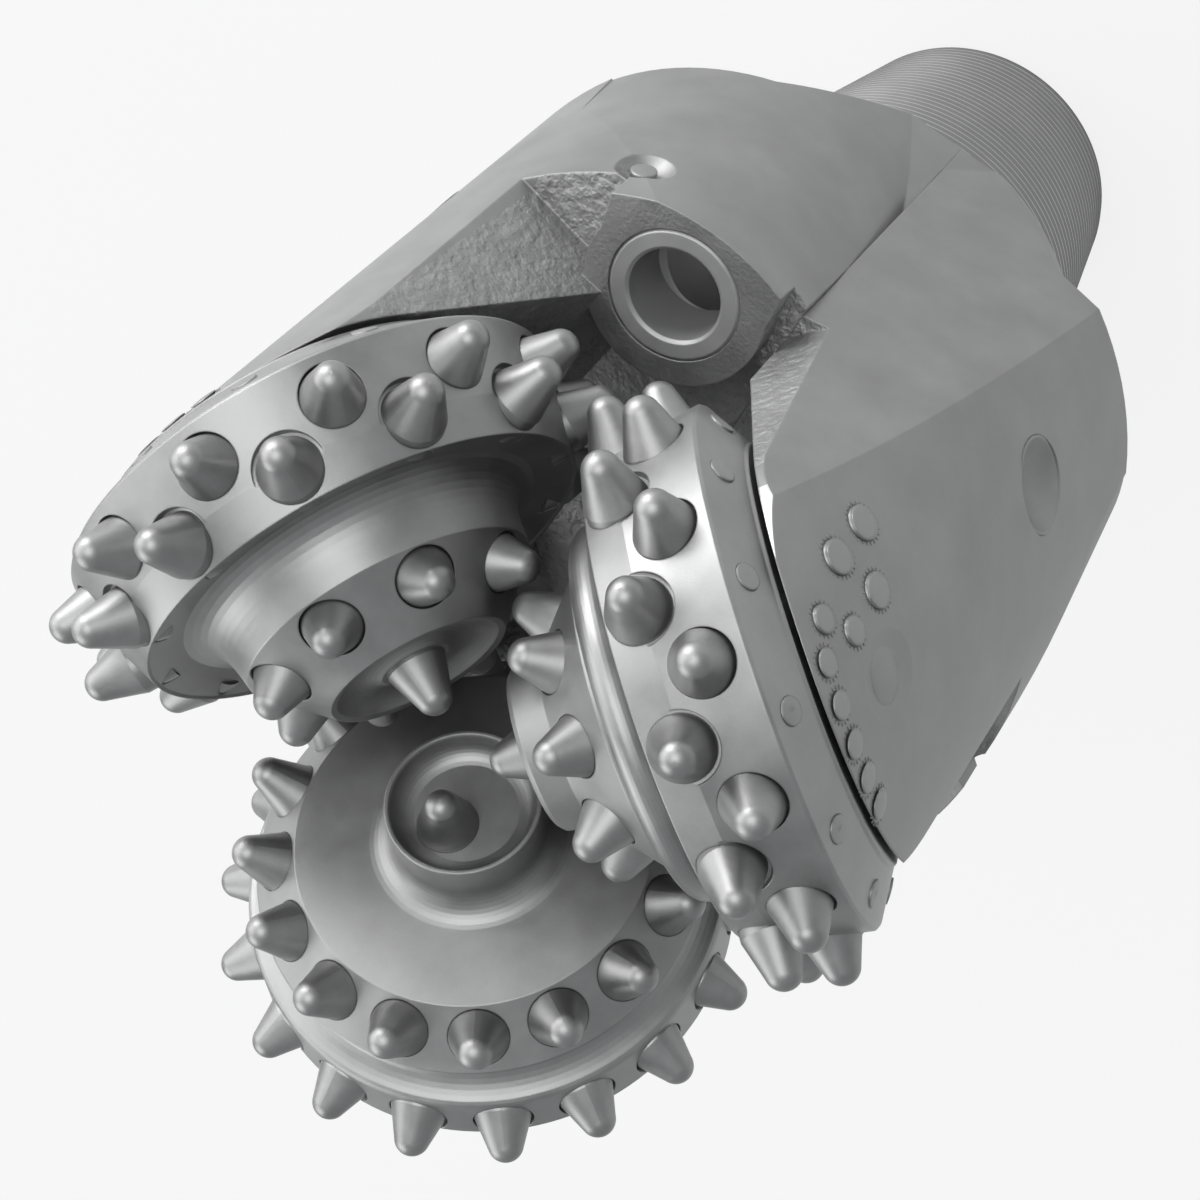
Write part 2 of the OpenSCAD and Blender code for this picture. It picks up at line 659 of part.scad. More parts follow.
module ball_plug_a() { ball_plug(AZ_A); }
module ball_plug_b() { ball_plug(AZ_B); }
module ball_plug_c() { ball_plug(AZ_C); }
module reservoir_cap_a() { reservoir_cap(AZ_A); }
module reservoir_cap_b() { reservoir_cap(AZ_B); }
module reservoir_cap_c() { reservoir_cap(AZ_C); }
module reservoir_diaphragm_a() { reservoir_diaphragm(AZ_A); }
module reservoir_diaphragm_b() { reservoir_diaphragm(AZ_B); }
module reservoir_diaphragm_c() { reservoir_diaphragm(AZ_C); }
module shirttail_buttons_a() { shirttail_buttons(AZ_A); }
module shirttail_buttons_b() { shirttail_buttons(AZ_B); }
module shirttail_buttons_c() { shirttail_buttons(AZ_C); }
module nozzle_a() { nozzle(AZ_A); }
module nozzle_b() { nozzle(AZ_B); }
module nozzle_c() { nozzle(AZ_C); }
module nozzle_seal_a() { nozzle_seal(AZ_A); }
module nozzle_seal_b() { nozzle_seal(AZ_B); }
module nozzle_seal_c() { nozzle_seal(AZ_C); }
module nozzle_nail_a() { nozzle_nail(AZ_A); }
module nozzle_nail_b() { nozzle_nail(AZ_B); }
module nozzle_nail_c() { nozzle_nail(AZ_C); }

leg_a();
leg_b();
leg_c();
cone_a();
cone_b();
cone_c();
gauge_buttons_a();
heel_outer_inserts_a();
heel_inner_inserts_a();
inner_inserts_a();
nose_insert_a();
gauge_buttons_b();
heel_outer_inserts_b();
heel_inner_inserts_b();
inner_inserts_b();
nose_insert_b();
gauge_buttons_c();
outer_inserts_c();
inner_inserts_c();
nose_insert_c();
journal_bush_a();
journal_bush_b();
journal_bush_c();
thrust_washer_a();
thrust_washer_b();
thrust_washer_c();
retaining_balls_a();
retaining_balls_b();
retaining_balls_c();
cone_seal_a();
cone_seal_b();
cone_seal_c();
ball_plug_a();
ball_plug_b();
ball_plug_c();
reservoir_cap_a();
reservoir_cap_b();
reservoir_cap_c();
reservoir_diaphragm_a();
reservoir_diaphragm_b();
reservoir_diaphragm_c();
shirttail_buttons_a();
shirttail_buttons_b();
shirttail_buttons_c();
nozzle_a();
nozzle_b();
nozzle_c();
nozzle_seal_a();
nozzle_seal_b();
nozzle_seal_c();
nozzle_nail_a();
nozzle_nail_b();
nozzle_nail_c();
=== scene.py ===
import logging
import math
from dataclasses import dataclass, field
from enum import Enum
from typing import Sequence

import bmesh
import bpy
from mathutils import Matrix, Vector


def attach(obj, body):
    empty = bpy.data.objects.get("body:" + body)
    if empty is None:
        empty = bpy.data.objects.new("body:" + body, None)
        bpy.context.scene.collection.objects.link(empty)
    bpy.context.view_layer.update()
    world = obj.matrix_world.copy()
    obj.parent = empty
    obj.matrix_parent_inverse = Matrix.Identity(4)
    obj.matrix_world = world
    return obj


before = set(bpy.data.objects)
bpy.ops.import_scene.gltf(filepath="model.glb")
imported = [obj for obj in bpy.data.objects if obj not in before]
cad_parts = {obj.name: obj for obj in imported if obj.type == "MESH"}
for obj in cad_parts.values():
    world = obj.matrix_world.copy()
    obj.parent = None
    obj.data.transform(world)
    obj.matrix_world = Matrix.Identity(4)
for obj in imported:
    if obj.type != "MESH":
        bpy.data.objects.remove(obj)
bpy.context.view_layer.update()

log = logging.getLogger("rock_bit")

MM = 0.001
# Angle between a leg's middle and the nozzle on either side of it
NOZZLE_STEP_DEG = 60.0


class Body(Enum):
    """Rigid body that the new pieces ride on."""

    BIT = "bit_body"


class Zone(Enum):
    """Finishes that share one leg, told apart by where a face lies."""

    MACHINED = 0
    CAST = 1
    PITTED = 2
    BORED = 3
    MILLED = 4


class Graph:
    """Node tree of one material, with short helpers for the nodes used here."""

    def __init__(self, name: str) -> None:
        """Starts an empty tree.

        Args:
            name: Name of the new material.
        """
        self.material = bpy.data.materials.new(name)
        self.material.use_nodes = True
        self.tree = self.material.node_tree
        self.tree.nodes.clear()
        self.output = self.tree.nodes.new("ShaderNodeOutputMaterial")

    def node(self, kind: str, **settings: object) -> bpy.types.Node:
        """Adds a node and sets its properties.

        Args:
            kind: Blender's node type.
            **settings: Properties of the node.

        Returns:
            The new node.
        """
        made = self.tree.nodes.new(kind)
        for key, value in settings.items():
            setattr(made, key, value)
        return made

    def link(self, source: bpy.types.NodeSocket, target: bpy.types.NodeSocket) -> None:
        """Joins two sockets.

        Args:
            source: Output socket.
            target: Input socket.
        """
        self.tree.links.new(source, target)

    def noise(self, size_mm: float, detail: float, rough: float = 0.6) -> bpy.types.NodeSocket:
        """Noise in object space whose features are about size_mm across.

        Args:
            size_mm: Size of the largest features.
            detail: Number of octaves.
            rough: Weight of the finer octaves.

        Returns:
            The grey value socket.
        """
        coords = self.node("ShaderNodeTexCoord")
        texture = self.node("ShaderNodeTexNoise")
        texture.inputs["Scale"].default_value = 1 / (size_mm * MM)
        texture.inputs["Detail"].default_value = detail
        texture.inputs["Roughness"].default_value = rough
        self.link(coords.outputs["Object"], texture.inputs["Vector"])
        return texture.outputs["Fac"]

    def ramp(self, source: bpy.types.NodeSocket, low: float, high: float,
             out_low: float, out_high: float) -> bpy.types.NodeSocket:
        """Maps a value from one range to another, clamped.

        Args:
            source: The value.
            low: Start of the range read.
            high: End of the range read.
            out_low: Value given at low.
            out_high: Value given at high.

        Returns:
            The mapped value socket.
        """
        made = self.node("ShaderNodeMapRange")
        self.link(source, made.inputs["Value"])
        limits = {"From Min": low, "From Max": high, "To Min": out_low, "To Max": out_high}
        for key, value in limits.items():
            made.inputs[key].default_value = value
        return made.outputs["Result"]

    def math(self, operation: str, first: bpy.types.NodeSocket,
             second: bpy.types.NodeSocket | float) -> bpy.types.NodeSocket:
        """Arithmetic on a socket and a second socket or number.

        Args:
            operation: Blender's name of the operation.
            first: Socket.
            second: Socket or number.

        Returns:
            The result socket.
        """
        made = self.node("ShaderNodeMath", operation=operation)
        self.link(first, made.inputs[0])
        if isinstance(second, bpy.types.NodeSocket):
            self.link(second, made.inputs[1])
        else:
            made.inputs[1].default_value = second
        return made.outputs["Value"]

    def tint(self, factor: bpy.types.NodeSocket, dark: Sequence[float],
             light: Sequence[float]) -> bpy.types.NodeSocket:
        """Mixes two colours by a factor.

        Args:
            factor: Mixing value, 0 gives dark.
            dark: Linear colour.
            light: Linear colour.

        Returns:
            The colour socket.
        """
        made = self.node("ShaderNodeMix", data_type="RGBA")
        self.link(factor, made.inputs["Factor"])
        made.inputs["A"].default_value = (*dark, 1)
        made.inputs["B"].default_value = (*light, 1)
        return made.outputs["Result"]

    def bump(self, height: bpy.types.NodeSocket, depth_mm: float,
             normal: bpy.types.NodeSocket | None = None) -> bpy.types.NodeSocket:
        """Raises the surface by a height value.

        Args:
            height: Value from 0 to 1.
            depth_mm: Height of a full step.
            normal: Normal to start from.

        Returns:
            The normal socket.
        """
        made = self.node("ShaderNodeBump")
        made.inputs["Strength"].default_value = 1.0
        made.inputs["Distance"].default_value = depth_mm * MM
        self.link(height, made.inputs["Height"])
        if normal is not None:
            self.link(normal, made.inputs["Normal"])
        return made.outputs["Normal"]

    def round_edges(self, radius_mm: float) -> bpy.types.NodeSocket:
        """Normal that rounds sharp edges in the shading.

        Args:
            radius_mm: Radius of the rounding.

        Returns:
            The normal socket.
        """
        made = self.node("ShaderNodeBevel", samples=6)
        made.inputs["Radius"].default_value = radius_mm * MM
        return made.outputs["Normal"]

    def finished(self, shader: bpy.types.NodeSocket) -> bpy.types.Material:
        """Ends the tree in a surface shader.

        Args:
            shader: Output of the last shader.

        Returns:
            The material.
        """
        self.link(shader, self.output.inputs["Surface"])
        return self.material


@dataclass(frozen=True)
class MetalFinish:
    """A bare metal surface with grain, stains, rounded edges and, where asked for, dents.

    dark and light are linear greys that warm multiplies by channel. rough_low goes with dark and rough_high
    with light, and the two shares mix stains and grain.
    """

    name: str
    dark: float
    light: float
    rough_low: float
    rough_high: float
    grain_mm: float = 0.5
    grain_depth_mm: float = 0.01
    stain_mm: float = 30.0
    edge_mm: float = 0.5
    dents_mm: float = 0.0
    dents_depth_mm: float = 0.0
    warm: tuple[float, float, float] = (1, 1, 1)
    metallic: float = 1.0
    stain_share: float = 0.7
    grain_share: float = 0.3

    def build(self) -> bpy.types.Material:
        """Makes the material.

        Returns:
            The finished material.
        """
        g = Graph(self.name)
        stain = g.ramp(g.noise(self.stain_mm, detail=5), low=0.3, high=0.7, out_low=0, out_high=1)
        fine = g.noise(self.grain_mm, detail=3)
        shade = g.math("ADD", g.math("MULTIPLY", stain, self.stain_share),
                       g.math("MULTIPLY", fine, self.grain_share))
        colour = g.tint(shade, [self.dark * w for w in self.warm], [self.light * w for w in self.warm])
        normal = g.round_edges(self.edge_mm)
        if self.dents_mm:
            normal = g.bump(g.noise(self.dents_mm, detail=2, rough=0.5), self.dents_depth_mm, normal)
        normal = g.bump(fine, self.grain_depth_mm, normal)
        rough = g.ramp(shade, low=0.1, high=0.9, out_low=self.rough_low, out_high=self.rough_high)
        shader = g.node("ShaderNodeBsdfPrincipled")
        shader.inputs["Metallic"].default_value = self.metallic
        g.link(colour, shader.inputs["Base Color"])
        g.link(rough, shader.inputs["Roughness"])
        g.link(normal, shader.inputs["Normal"])
        return g.finished(shader.outputs["BSDF"])


@dataclass(frozen=True)
class RubberFinish:
    """Black nitrile rubber of the seals and the diaphragms."""

    name: str
    dark: tuple[float, float, float] = (0.012, 0.012, 0.013)
    light: tuple[float, float, float] = (0.03, 0.03, 0.032)
    rough_low: float = 0.5
    rough_high: float = 0.68
    speck_mm: float = 0.8
    speck_depth_mm: float = 0.02

    def build(self) -> bpy.types.Material:
        """Makes the material.

        Returns:
            The finished material.
        """
        g = Graph(self.name)
        speck = g.noise(self.speck_mm, detail=4, rough=0.55)
        rough = g.ramp(speck, low=0.3, high=0.7, out_low=self.rough_low, out_high=self.rough_high)
        shader = g.node("ShaderNodeBsdfPrincipled")
        g.link(g.tint(speck, self.dark, self.light), shader.inputs["Base Color"])
        g.link(rough, shader.inputs["Roughness"])
        g.link(g.bump(speck, self.speck_depth_mm), shader.inputs["Normal"])
        return g.finished(shader.outputs["BSDF"])


Finish = MetalFinish | RubberFinish

TURNED = MetalFinish("turned_steel", dark=0.27, light=0.37, rough_low=0.4, rough_high=0.52,
                     grain_mm=0.45, grain_depth_mm=0.022, stain_mm=16)
GROUND = MetalFinish("ground_steel", dark=0.25, light=0.35, rough_low=0.46, rough_high=0.58,
                     grain_mm=0.45, grain_depth_mm=0.035, stain_mm=24, edge_mm=0.9)
CAST = MetalFinish("cast_steel", dark=0.28, light=0.42, rough_low=0.55, rough_high=0.68,
                   grain_mm=0.8, grain_depth_mm=0.14, stain_mm=14, edge_mm=0.8,
                   dents_mm=2.6, dents_depth_mm=1.0)
PITTED = MetalFinish("pitted_steel", dark=0.3, light=0.38, rough_low=0.5, rough_high=0.62,
                     grain_mm=0.6, grain_depth_mm=0.05, stain_mm=14,
                     dents_mm=1.1, dents_depth_mm=0.14)
THREAD = MetalFinish("thread_steel", dark=0.24, light=0.3, rough_low=0.34, rough_high=0.44, edge_mm=0.08)
# Painted highlight: the thread crests take this bright grey where light catches the ridges.
CREST_HIGHLIGHT = MetalFinish("thread_crest_painted_highlight", dark=0.6, light=0.7, rough_low=0.3, rough_high=0.4, edge_mm=0.08)
# Painted highlight: near-white grey for the facet that faces the upper-left light.
MILLED = MetalFinish("facet_painted_highlight", dark=0.62, light=0.7, rough_low=0.3, rough_high=0.4, edge_mm=0.9)
# Painted light: pale non-metal for the water ways and the nozzle bore, standing in for light that reaches into
# them.
CHAMBER_PAINTED_LIGHT = MetalFinish("chamber_painted_light", dark=0.78, light=0.86, rough_low=0.5, rough_high=0.6, metallic=0.0)
CARBIDE = MetalFinish("sintered_carbide", dark=0.26, light=0.35, rough_low=0.42, rough_high=0.5,
                      grain_mm=0.4, grain_depth_mm=0.02, stain_mm=8, edge_mm=0.2)
FLUSH = MetalFinish("flush_carbide", dark=0.29, light=0.35, rough_low=0.44, rough_high=0.54,
                    grain_mm=0.4, grain_depth_mm=0.02, stain_mm=12, edge_mm=0.8)
JET = MetalFinish("nozzle_carbide", dark=0.34, light=0.42, rough_low=0.4, rough_high=0.5,
                  grain_depth_mm=0.006, stain_mm=12, metallic=0.55)
BRONZE = MetalFinish("bearing_bronze", dark=0.5, light=0.62, rough_low=0.25, rough_high=0.4,
                     warm=(1, 0.72, 0.4))
POLISHED = MetalFinish("ball_steel", dark=0.66, light=0.72, rough_low=0.08, rough_high=0.14)
RUBBER = RubberFinish("nitrile_rubber")

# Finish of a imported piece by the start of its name. The first that fits counts, and CARBIDE is for the rest.
FINISH_BY_START: dict[str, Finish] = {
    "cone_seal": RUBBER, "nozzle_seal": RUBBER, "reservoir_diaphragm": RUBBER,
    "cone_": TURNED, "leg_": GROUND,
    "journal_bush": BRONZE, "thrust_washer": BRONZE, "retaining_balls": POLISHED,
    "ball_plug": GROUND, "reservoir_cap": GROUND,
    "nozzle_nail": GROUND, "nozzle_": JET,
    "gauge_buttons": FLUSH, "shirttail_buttons": FLUSH,
}

ZONE_FINISH: dict[Zone, MetalFinish] = {
    Zone.MACHINED: GROUND, Zone.CAST: CAST, Zone.PITTED: PITTED, Zone.BORED: CHAMBER_PAINTED_LIGHT, Zone.MILLED: MILLED,
}


@dataclass(frozen=True)
class SoftLight:
    """A square soft light that faces the middle of the bit. Lengths are in metres."""

    name: str
    place: tuple[float, float, float]
    size: float
    watts: float
    target: tuple[float, float, float] = (0.0, 0.0, 0.3)

    def build(self) -> None:
        """Makes the light."""
        data = bpy.data.lights.new(self.name, "AREA")
        data.shape, data.size, data.energy = "SQUARE", self.size, self.watts
        light = bpy.data.objects.new(self.name, data)
        aim = (Vector(self.target) - Vector(self.place)).to_track_quat("-Z", "Y")
        light.matrix_world = Matrix.Translation(self.place) @ aim.to_matrix().to_4x4()
        bpy.context.scene.collection.objects.link(light)


@dataclass(frozen=True)
class Studio:
    """Camera at the photograph's place, pale floor, soft lights and a grey world."""

    lens_mm: float = 82.206
    sensor_mm: float = 36.0
    eye_mm: tuple[float, float, float] = (-398.354, 201.720, 783.331)
    right: tuple[float, float, float] = (-0.0978789, 0.8960282, -0.4330742)
    down: tuple[float, float, float] = (0.802553, 0.3283946, 0.4980619)
    forward: tuple[float, float, float] = (0.5884967, -0.2988153, -0.751253)
    clip_m: tuple[float, float] = (0.01, 50.0)
    floor_half_m: float = 6.0
    floor_grey: float = 0.7
    glow_grey: float = 0.93
    glow_share: float = 0.9
    world_colour: tuple[float, float, float] = (0.6, 0.61, 0.62)
    world_strength: float = 0.75
    lights: tuple[SoftLight, ...] = (
        SoftLight("upper_left_soft", place=(-1.8, -1.6, 0.35), size=1.4, watts=56),
        SoftLight("left_soft", place=(-0.3, -2.0, 1.3), size=2.0, watts=30),
        SoftLight("low_left_soft", place=(1.6, -1.2, 1.9), size=1.6, watts=24),
        SoftLight("front_soft", place=(-1.5, 0.1, 2.3), size=1.8, watts=32),
    )

    def camera(self) -> None:
        """Makes the camera and sets it as the scene's."""
        data = bpy.data.cameras.new("studio_camera")
        data.lens, data.sensor_width = self.lens_mm, self.sensor_mm
        data.clip_start, data.clip_end = self.clip_m
        camera = bpy.data.objects.new("studio_camera", data)
        axes = Matrix((self.right, [-v for v in self.down], [-v for v in self.forward])).transposed()
        camera.matrix_world = Matrix.Translation(Vector(self.eye_mm) * MM) @ axes.to_4x4()
        bpy.context.scene.collection.objects.link(camera)
        bpy.context.scene.camera = camera

    def floor(self) -> None:
        """Makes the pale floor, which glows for the camera and takes light and shadow as paint."""
        mesh = bpy.data.meshes.new("floor")
        bm = bmesh.new()
        bmesh.ops.create_grid(bm, x_segments=1, y_segments=1, size=self.floor_half_m)
        bm.to_mesh(mesh)
        bm.free()
        floor = bpy.data.objects.new("floor", mesh)
        bpy.context.scene.collection.objects.link(floor)
        g = Graph("pale_floor")
        paint = g.node("ShaderNodeBsdfDiffuse")
        paint.inputs["Color"].default_value = (*(self.floor_grey,) * 3, 1)
        glow = g.node("ShaderNodeEmission")
        glow.inputs["Color"].default_value = (*(self.glow_grey,) * 3, 1)
        path = g.node("ShaderNodeLightPath")
        seen = g.math("MAXIMUM", path.outputs["Is Camera Ray"], path.outputs["Is Transmission Ray"])
        mix = g.node("ShaderNodeMixShader")
        g.link(g.math("MULTIPLY", seen, self.glow_share), mix.inputs["Fac"])
        g.link(paint.outputs["BSDF"], mix.inputs[1])
        g.link(glow.outputs["Emission"], mix.inputs[2])
        mesh.materials.append(g.finished(mix.outputs["Shader"]))

    def world(self) -> None:
        """Makes the grey world and keeps its tones plain."""
        world = bpy.data.worlds.new("studio_world")
        world.use_nodes = True
        back = world.node_tree.nodes["Background"]
        back.inputs["Color"].default_value = (*self.world_colour, 1)
        back.inputs["Strength"].default_value = self.world_strength
        bpy.context.scene.world = world
        bpy.context.scene.view_settings.view_transform = "Standard"

    def build(self) -> None:
        """Sets the whole studio up."""
        self.camera()
        self.floor()
        for light in self.lights:
            light.build()
        self.world()


@dataclass(frozen=True)
class LegFrame:
    """Where one leg and its journal lie in the bit.

    X points outward along the leg's azimuth and Z up along the bit. The journals cross near cross_mm above
    the end of the pin, each offset_mm to the side of the bit's axis and leaning down by journal_angle.
    """

    letter: str
    azimuth: float
    cross_mm: float = 349.0
    offset_mm: float = -2.7
    journal_angle: float = 25.45

    @property
    def spin(self) -> Matrix:
        """Turn about the bit axis that brings the leg to its azimuth."""
        return Matrix.Rotation(math.radians(self.azimuth), 4, "Z")


LEGS = (LegFrame("a", 240.0), LegFrame("b", 120.0), LegFrame("c", 0.0))


@dataclass(frozen=True)
class LegBack:
    """The turned back of one leg, on which places are given as seen along the journal."""

    leg: LegFrame
    radius_mm: float = 99.6

    def place(self, up: float, side: float) -> Matrix:
        """Frame on the leg back: Z out of the surface, Y up the leg.

        Args:
            up: Distance above the journal axis, across it.
            side: Distance to the leading side.

        Returns:
            The matrix in the bit's frame, in mm.
        """
        tilt = math.radians(self.leg.journal_angle)
        tangent = side + self.leg.offset_mm
        outward = math.sqrt(self.radius_mm ** 2 - tangent ** 2)
        along = (outward - up * math.sin(tilt)) / math.cos(tilt)
        local = Vector((outward, tangent, up * math.cos(tilt) - along * math.sin(tilt)))
        at = self.leg.spin @ local + Vector((0, 0, self.leg.cross_mm))
        out = Vector((at.x, at.y, 0)).normalized()
        rise = Vector((0, 0, 1))
        return Matrix.Translation(at) @ Matrix((rise.cross(out), rise, out)).transposed().to_4x4()


def make_piece(name: str, bm: bmesh.types.BMesh, body: Body,
               material: bpy.types.Material) -> bpy.types.Object:
    """Turns a finished bmesh in mm into a piece that rides on a body.

    Args:
        name: Name of the piece.
        bm: The shape, freed here.
        body: Body that it rides on.
        material: Its finish.

    Returns:
        The new object.
    """
    bmesh.ops.transform(bm, matrix=Matrix.Scale(MM, 4), verts=bm.verts)
    mesh = bpy.data.meshes.new(name)
    bm.to_mesh(mesh)
    bm.free()
    mesh.materials.append(material)
    for polygon in mesh.polygons:
        polygon.use_smooth = True
    piece = bpy.data.objects.new(name, mesh)
    bpy.context.scene.collection.objects.link(piece)
    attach(piece, body.value)
    log.info("made %s: %d faces", name, len(mesh.polygons))
    return piece


@dataclass(frozen=True)
class PinThread:
    """Skin of fine helical ridges over the tapered pin.

    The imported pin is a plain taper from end_r_mm, above its chamfer, to base_r_mm at length_mm. The skin
    lies between low_mm and high_mm, land_mm above the taper. Its ridges stand ridge_mm above that, and it
    sinks sunk_mm into the pin at both ends.
    """

    pitch_mm: float = 3.45
    low_mm: float = 3.4
    high_mm: float = 96.8
    end_r_mm: float = 43.6
    base_r_mm: float = 57.0
    length_mm: float = 97.0
    chamfer_mm: float = 3.2
    land_mm: float = 1.0
    ridge_mm: float = 0.6
    flank_mm: float = 0.4
    crest_mm: float = 0.35
    sunk_mm: float = 0.25
    # Faces higher than this share of the ridge take the painted highlight.
    highlight_share: float = 0.8
    weld_mm: float = 0.01
    steps: int = 144

    @property
    def middle_r_mm(self) -> float:
        """Radius at which the section is spun before it is laid on the taper."""
        return (self.end_r_mm + self.base_r_mm) / 2

    def radius(self, height: float) -> float:
        """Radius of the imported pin.

        Args:
            height: Height above its end, in mm.

        Returns:
            The radius in mm.
        """
        share = (height - self.chamfer_mm) / (self.length_mm - self.chamfer_mm)
        return self.end_r_mm + (self.base_r_mm - self.end_r_mm) * share

    def one_turn(self, start: float) -> bmesh.types.BMesh:
        """Spins one pitch of the section once round the pin.

        Args:
            start: Height of the first ridge, in mm.

        Returns:
            The turn as an even helix.
        """
        half, top = self.pitch_mm / 2, self.crest_mm / 2
        foot = top + self.flank_mm
        section = [(0.0, -half), (0.0, -foot), (self.ridge_mm, -top),
                   (self.ridge_mm, top), (0.0, foot), (0.0, half)]
        turn = bmesh.new()
        chain = [turn.verts.new((self.middle_r_mm + out, 0, start + z)) for out, z in section]
        edges = [turn.edges.new(pair) for pair in zip(chain, chain[1:])]
        bmesh.ops.spin(turn, geom=[*chain, *edges], cent=(0, 0, 0), axis=(0, 0, 1),
                       dvec=(0, 0, self.pitch_mm / self.steps), angle=math.tau,
                       steps=self.steps, use_merge=False, use_duplicate=False)
        return turn

    def helix(self, start: float, turns: int) -> bmesh.types.BMesh:
        """Stacks copies of one turn, which is far quicker than one long spin.

        Args:
            start: Height of the first ridge, in mm.
            turns: Number of turns.

        Returns:
            The whole helix, still of one radius.
        """
        turn = self.one_turn(start)
        turn_mesh = bpy.data.meshes.new("thread_turn")
        bm = bmesh.new()
        for _ in range(turns):
            turn.to_mesh(turn_mesh)
            bm.from_mesh(turn_mesh)
            bmesh.ops.translate(turn, vec=(0, 0, self.pitch_mm), verts=turn.verts)
        turn.free()
        bpy.data.meshes.remove(turn_mesh)
        bmesh.ops.remove_doubles(bm, verts=bm.verts, dist=self.weld_mm)
        return bm

    def build(self, material: bpy.types.Material, crest_highlight: bpy.types.Material) -> None:
        """Makes the skin and lays it on the taper.

        Args:
            material: Finish of the pin.
            crest_highlight: Bright finish of the crests, a painted highlight.
        """
        start = self.low_mm + self.pitch_mm / 2
        turns = int((self.high_mm - self.low_mm) / self.pitch_mm) - 1
        end = start + turns * self.pitch_mm + self.pitch_mm / 2
        bm = self.helix(start, turns)
        for vert in bm.verts:
            flat = vert.co.to_2d()
            near = min(vert.co.z - self.low_mm, end - vert.co.z)
            fade = max(0.0, min(1.0, near / self.pitch_mm))
            out = (self.land_mm + flat.length - self.middle_r_mm + self.sunk_mm) * fade - self.sunk_mm
            vert.co.x, vert.co.y = flat.normalized() * (self.radius(vert.co.z) + out)
        piece = make_piece("pin_thread_ridges", bm, Body.BIT, material)
        piece.data.materials.append(crest_highlight)
        # Faces high on the ridges take the bright finish, a painted highlight along the crests.
        highlight_from = self.land_mm + self.ridge_mm * self.highlight_share
        for polygon in piece.data.polygons:
            out = polygon.center.to_2d().length / MM - self.radius(polygon.center.z / MM)
            polygon.material_index = int(out > highlight_from)


@dataclass(frozen=True)
class Button:
    """Place of one shirttail button, in mm and degrees round the journal axis, with its radius."""

    from_axis: float
    angle: float
    radius: float


# Buttons along the round edge of the shirttail, then those farther in
EDGE_BUTTONS = tuple(Button(39.6 if k == 0 else 42.4, 56 + 12.6 * k, 3.2) for k in range(6))
INNER_BUTTONS = (Button(30.1, 61, 3.3), Button(28.4, 8, 4.1), Button(32.8, 31.7, 4.1),
                 Button(20.3, 38.8, 4.1))


@dataclass(frozen=True)
class ButtonMarks:
    """Staking ticks round the shirttail buttons of one leg, and the buttons' domed faces.

    The ticks stand tick_gap_mm outside each button and about apart_mm from one another.
    """

    back: LegBack
    buttons: tuple[Button, ...] = EDGE_BUTTONS + INNER_BUTTONS
    tick_half_width_mm: float = 0.22
    tick_half_length_mm: float = 0.52
    tick_gap_mm: float = 0.7
    apart_mm: float = 1.3
    dome_base_mm: float = 0.42
    dome_mm: float = 0.34

    def ring(self, up: float, side: float, radius: float) -> bmesh.types.BMesh:
        """Makes one ring of ticks that point away from its middle.

        Args:
            up: Distance of the middle above the journal axis.
            side: Distance of the middle to the leading side.
            radius: Radius of the ring.

        Returns:
            The ticks, in mm.
        """
        bm = bmesh.new()
        half = (self.tick_half_length_mm, self.tick_half_width_mm, self.tick_half_width_mm, 1)
        count = round(math.tau * radius / self.apart_mm)
        for k in range(count):
            turn = math.tau * k / count
            place = self.back.place(up + radius * math.sin(turn), side + radius * math.cos(turn))
            lean = Matrix.Rotation(turn, 4, "Z") @ Matrix.Diagonal(half)
            bmesh.ops.create_icosphere(bm, subdivisions=1, radius=1.0, matrix=place @ lean)
        return bm

    def build(self, material: bpy.types.Material, hard: bpy.types.Material) -> None:
        """Makes all ticks as one piece and all domes as another.

        Args:
            material: Finish of the ticks.
            hard: Finish of the domes.
        """
        ticks, domes = bmesh.new(), bmesh.new()
        ring_mesh = bpy.data.meshes.new("staking_ring")
        stretch = 1 / math.cos(math.radians(self.back.leg.journal_angle))
        for button in self.buttons:
            up = button.from_axis * math.sin(math.radians(button.angle))
            side = button.from_axis * math.cos(math.radians(button.angle))
            one_ring = self.ring(up, side, button.radius + self.tick_gap_mm)
            one_ring.to_mesh(ring_mesh)
            one_ring.free()
            ticks.from_mesh(ring_mesh)
            shape = Matrix.Diagonal((button.radius, button.radius * stretch, self.dome_mm, 1))
            base = self.back.place(up, side) @ Matrix.Translation((0, 0, self.dome_base_mm)) @ shape
            bmesh.ops.create_uvsphere(domes, u_segments=28, v_segments=14, radius=1.0, matrix=base)
        bpy.data.meshes.remove(ring_mesh)
        letter = self.back.leg.letter
        make_piece(f"staking_ticks_{letter}", ticks, Body.BIT, material)
        make_piece(f"button_domes_{letter}", domes, Body.BIT, hard)


@dataclass(frozen=True)
class PlugWeld:
    """Soft weld over the ball plug of one leg, at the bottom of its dish."""

    back: LegBack
    half_width_mm: float = 6.8
    half_length_mm: float = 7.48
    height_mm: float = 1.3
    up_mm: float = 21.5
    sunk_mm: float = 1.55

    def build(self, material: bpy.types.Material) -> None:
        """Makes the weld as a low dome.

        Args:
            material: Finish of the leg.
        """
        bm = bmesh.new()
        base = self.back.place(self.up_mm, 0.0) @ Matrix.Translation((0, 0, -self.sunk_mm))
        shape = Matrix.Diagonal((self.half_width_mm, self.half_length_mm, self.height_mm, 1))
        bmesh.ops.create_uvsphere(bm, u_segments=48, v_segments=24, radius=1.0, matrix=base @ shape)
        make_piece(f"plug_weld_{self.back.leg.letter}", bm, Body.BIT, material)


